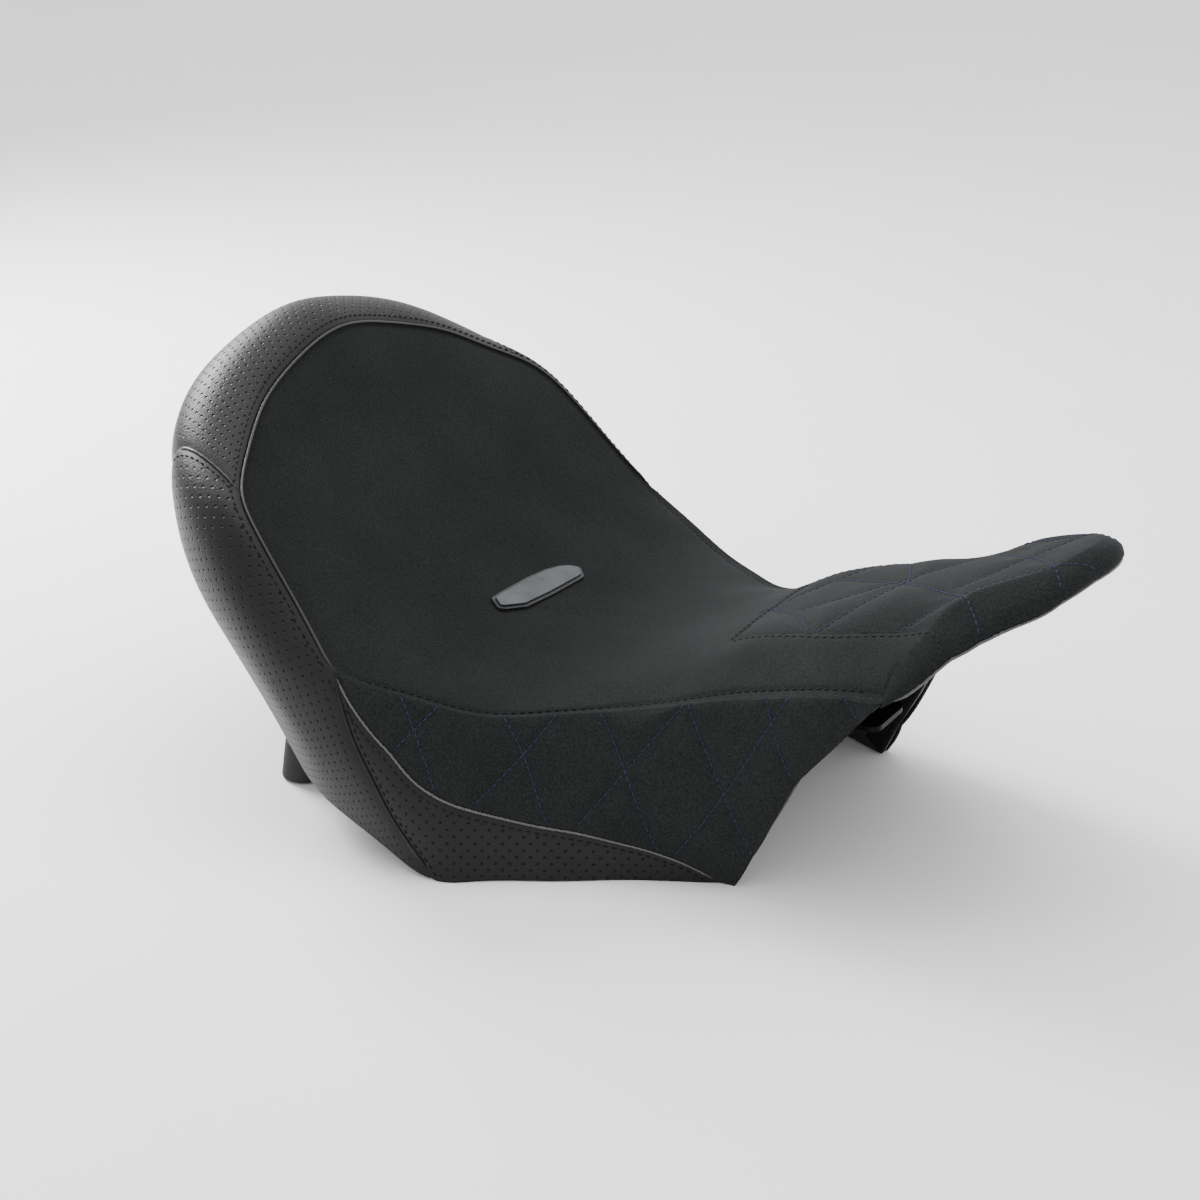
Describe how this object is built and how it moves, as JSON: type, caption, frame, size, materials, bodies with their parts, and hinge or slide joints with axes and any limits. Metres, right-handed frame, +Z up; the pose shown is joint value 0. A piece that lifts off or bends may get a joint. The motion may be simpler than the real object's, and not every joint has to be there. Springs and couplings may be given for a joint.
{
  "type": "motorcycle seat",
  "caption": "Solo motorcycle seat with a leaning round backrest, suede saddle, diamond-quilted skirts and nose, perforated leather edge band and moulded base.",
  "frame": {"origin": "on the floor that the seat stands on, in the middle of its length and width", "axes": "+X towards the nose, +Y to the rider's left, +Z up"},
  "size_m": [0.53, 0.3444, 0.241],
  "materials": {
    "suede": "very dark charcoal synthetic suede, matt with a short nap",
    "quilted_suede": "dark synthetic suede quilted in diamonds with navy thread",
    "perforated_leather": "black grained leather, satin, with small staggered perforations",
    "plain_leather": "black grained leather, satin",
    "trim_plastic": "glossy black edging",
    "badge_rubber": "soft black rubber",
    "badge_metal": "satin blue-grey plate with a thin lighter border, no lettering",
    "foam": "moulded polyurethane foam",
    "pan_plastic": "textured black moulded plastic",
    "rubber": "black rubber",
    "coated_steel": "black powder coat, satin",
    "zinc_steel": "zinc plated",
    "insert_brass": "knurled brass"
  },
  "bodies": {
    "root": {"seat_panel": "suede", "nose_panel": "quilted_suede", "side_panel_left": "quilted_suede", "side_panel_right": "quilted_suede", "rim_top_panel": "perforated_leather", "rim_side_panel_left": "perforated_leather", "rim_side_panel_right": "perforated_leather", "lower_panel_left": "perforated_leather", "lower_panel_right": "perforated_leather", "back_panel": "plain_leather", "fold_bead_left": "plain_leather", "fold_bead_right": "plain_leather", "nose_trim": "trim_plastic", "skirt_hem_left": "suede", "skirt_hem_right": "suede", "hem_staples_left": "zinc_steel", "hem_staples_right": "zinc_steel", "badge_base": "badge_rubber", "badge_plate": "badge_metal", "badge_pins": "zinc_steel", "quilt_backing_left": "foam", "quilt_backing_right": "foam", "quilt_backing_nose": "foam", "foam_core": "foam", "base_pan": "pan_plastic", "rear_feet": "rubber", "mid_bumpers": "rubber", "front_bumpers": "rubber", "front_tongue": "coated_steel", "tongue_rivets": "zinc_steel", "rear_bracket": "coated_steel", "bracket_washers": "zinc_steel", "bracket_screws": "zinc_steel", "threaded_inserts": "insert_brass"}
  },
  "joints": []
}
